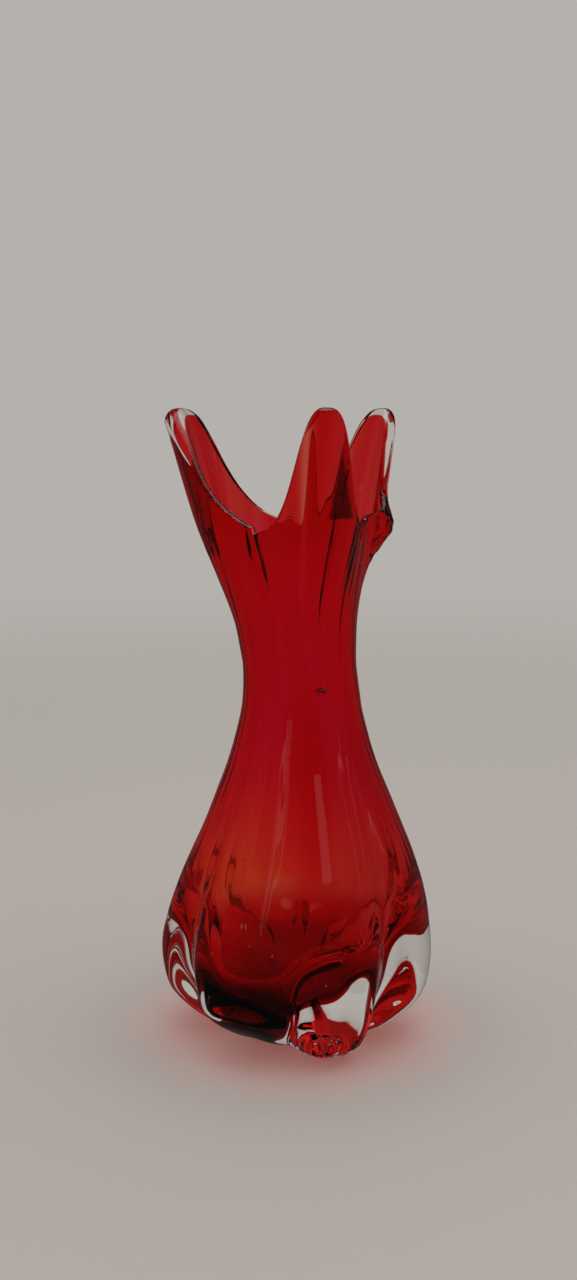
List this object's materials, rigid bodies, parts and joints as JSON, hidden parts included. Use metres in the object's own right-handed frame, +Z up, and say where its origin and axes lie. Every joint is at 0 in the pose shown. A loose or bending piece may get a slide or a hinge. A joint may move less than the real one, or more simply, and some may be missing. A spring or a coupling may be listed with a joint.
{
  "type": "vase",
  "caption": "Hand blown cased glass vase: ruby bubble in clear glass, pear-shaped body, narrow waist, pulled petals on the rim and a lobed foot.",
  "frame": {"origin": "on the table surface under the middle of the vase's outline", "axes": "+Z up the vase from its base to its petal tips, -Y towards the front, where two foot lobes and one petal face the viewer"},
  "size_m": [0.1088, 0.1077, 0.25],
  "materials": {
    "ruby_glass": "fire-polished transparent ruby red glass, more orange where it is thin over the belly and crimson at the neck",
    "clear_glass": "fire-polished clear crystal with a few seeds and tool marks"
  },
  "bodies": {
    "root": {"ruby_inner_vessel": "ruby_glass", "clear_casing": "clear_glass", "foot_lobe_left": "clear_glass", "foot_lobe_front_left": "clear_glass", "foot_lobe_front_right": "clear_glass", "foot_lobe_right": "clear_glass", "foot_lobe_back_right": "clear_glass", "foot_lobe_back_left": "clear_glass"}
  },
  "joints": []
}
